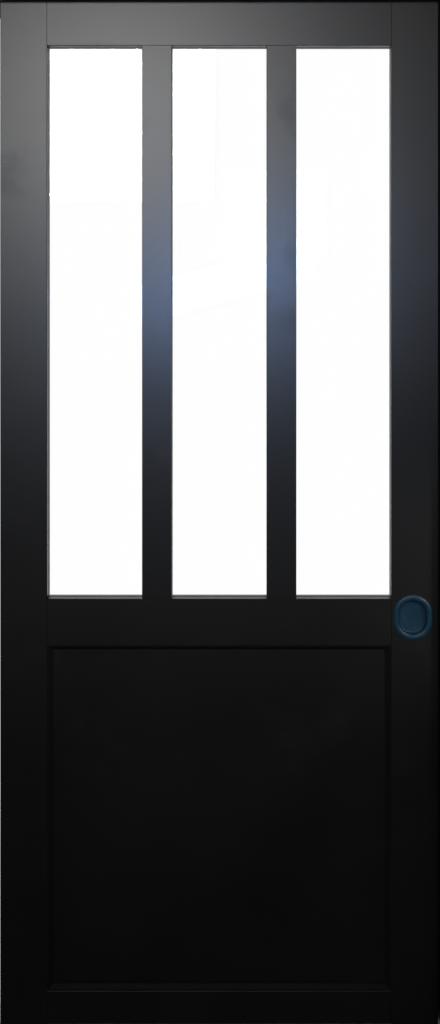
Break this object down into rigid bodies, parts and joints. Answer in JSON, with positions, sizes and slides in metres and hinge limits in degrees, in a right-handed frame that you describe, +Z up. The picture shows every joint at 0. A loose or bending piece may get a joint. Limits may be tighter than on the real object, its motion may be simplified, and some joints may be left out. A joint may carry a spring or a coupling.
{
  "type": "sliding door",
  "caption": "Top-hung sliding door with a part-glazed black leaf, dished pull and its own frame, running on wheeled trolleys in a track hidden behind a fascia.",
  "frame": {"origin": "on the floor, in the middle of the frame's width and depth", "axes": "+X to the strike jamb, where the leaf closes; -Y to the side with the fascia; +Z up"},
  "size_m": [1.754, 0.159, 2.224],
  "materials": {
    "leaf_paint": "satin black paint on wood",
    "frame_paint": "satin black paint on wood",
    "glass": "clear float glass",
    "pull_metal": "satin blue-black powder coat",
    "track_aluminium": "satin anodised",
    "zinc_steel": "zinc plated",
    "black_screws": "black phosphated",
    "black_nylon": "moulded nylon",
    "pale_nylon": "moulded nylon",
    "rubber": "moulded rubber"
  },
  "bodies": {
    "frame": {"strike_jamb": "frame_paint", "end_jamb": "frame_paint", "middle_post": "frame_paint", "head": "frame_paint", "front_fascia": "frame_paint", "rear_fascia": "frame_paint", "strike_seal": "rubber", "jamb_screws": "zinc_steel", "front_fascia_screws": "black_screws", "rear_fascia_screws": "zinc_steel", "post_screws": "zinc_steel", "head_track": "track_aluminium", "track_screws": "zinc_steel", "closing_stop": "zinc_steel", "closing_buffer": "rubber", "opening_stop": "zinc_steel", "opening_buffer": "rubber", "stop_clamps": "zinc_steel", "stop_screws": "zinc_steel", "guide_bracket": "zinc_steel", "guide_fin": "pale_nylon", "guide_screws": "zinc_steel"},
    "leaf": {"left_stile": "leaf_paint", "right_stile": "leaf_paint", "top_rail": "leaf_paint", "middle_rail": "leaf_paint", "bottom_rail": "leaf_paint", "left_glazing_bar": "leaf_paint", "right_glazing_bar": "leaf_paint", "lower_panel": "leaf_paint", "left_glass": "glass", "middle_glass": "glass", "right_glass": "glass", "left_glazing_beads": "leaf_paint", "middle_glazing_beads": "leaf_paint", "right_glazing_beads": "leaf_paint", "front_panel_moulding": "leaf_paint", "rear_panel_moulding": "leaf_paint", "front_pull": "pull_metal", "rear_pull": "pull_metal", "left_top_plate": "zinc_steel", "right_top_plate": "zinc_steel", "top_plate_screws": "zinc_steel", "left_hanger_bolt": "zinc_steel", "right_hanger_bolt": "zinc_steel", "lock_nuts": "zinc_steel", "clamp_nuts": "zinc_steel", "left_trolley": "black_nylon", "right_trolley": "black_nylon"},
    "left_outer_wheelset": {"left_outer_axle": "zinc_steel", "left_outer_wheels": "pale_nylon"},
    "left_inner_wheelset": {"left_inner_axle": "zinc_steel", "left_inner_wheels": "pale_nylon"},
    "right_inner_wheelset": {"right_inner_axle": "zinc_steel", "right_inner_wheels": "pale_nylon"},
    "right_outer_wheelset": {"right_outer_axle": "zinc_steel", "right_outer_wheels": "pale_nylon"}
  },
  "joints": [
    {"name": "leaf_slide", "type": "slide", "parent": "frame", "child": "leaf", "axis": [-1, 0, 0], "range_m": [0, 0.764]},
    {"name": "left_outer_roll", "type": "hinge", "parent": "leaf", "child": "left_outer_wheelset", "pos_m": [0.05549, -0.039, 2.1728], "axis": [0, -1, 0], "range_deg": [0, 3648]},
    {"name": "left_inner_roll", "type": "hinge", "parent": "leaf", "child": "left_inner_wheelset", "pos_m": [0.10451, -0.039, 2.1728], "axis": [0, -1, 0], "range_deg": [0, 3648]},
    {"name": "right_inner_roll", "type": "hinge", "parent": "leaf", "child": "right_inner_wheelset", "pos_m": [0.65949, -0.039, 2.1728], "axis": [0, -1, 0], "range_deg": [0, 3648]},
    {"name": "right_outer_roll", "type": "hinge", "parent": "leaf", "child": "right_outer_wheelset", "pos_m": [0.70851, -0.039, 2.1728], "axis": [0, -1, 0], "range_deg": [0, 3648]}
  ],
  "couplings": [
    {"joint": "left_outer_roll", "follows": "leaf_slide", "rad_per_m": 83.333},
    {"joint": "left_inner_roll", "follows": "leaf_slide", "rad_per_m": 83.333},
    {"joint": "right_inner_roll", "follows": "leaf_slide", "rad_per_m": 83.333},
    {"joint": "right_outer_roll", "follows": "leaf_slide", "rad_per_m": 83.333}
  ]
}
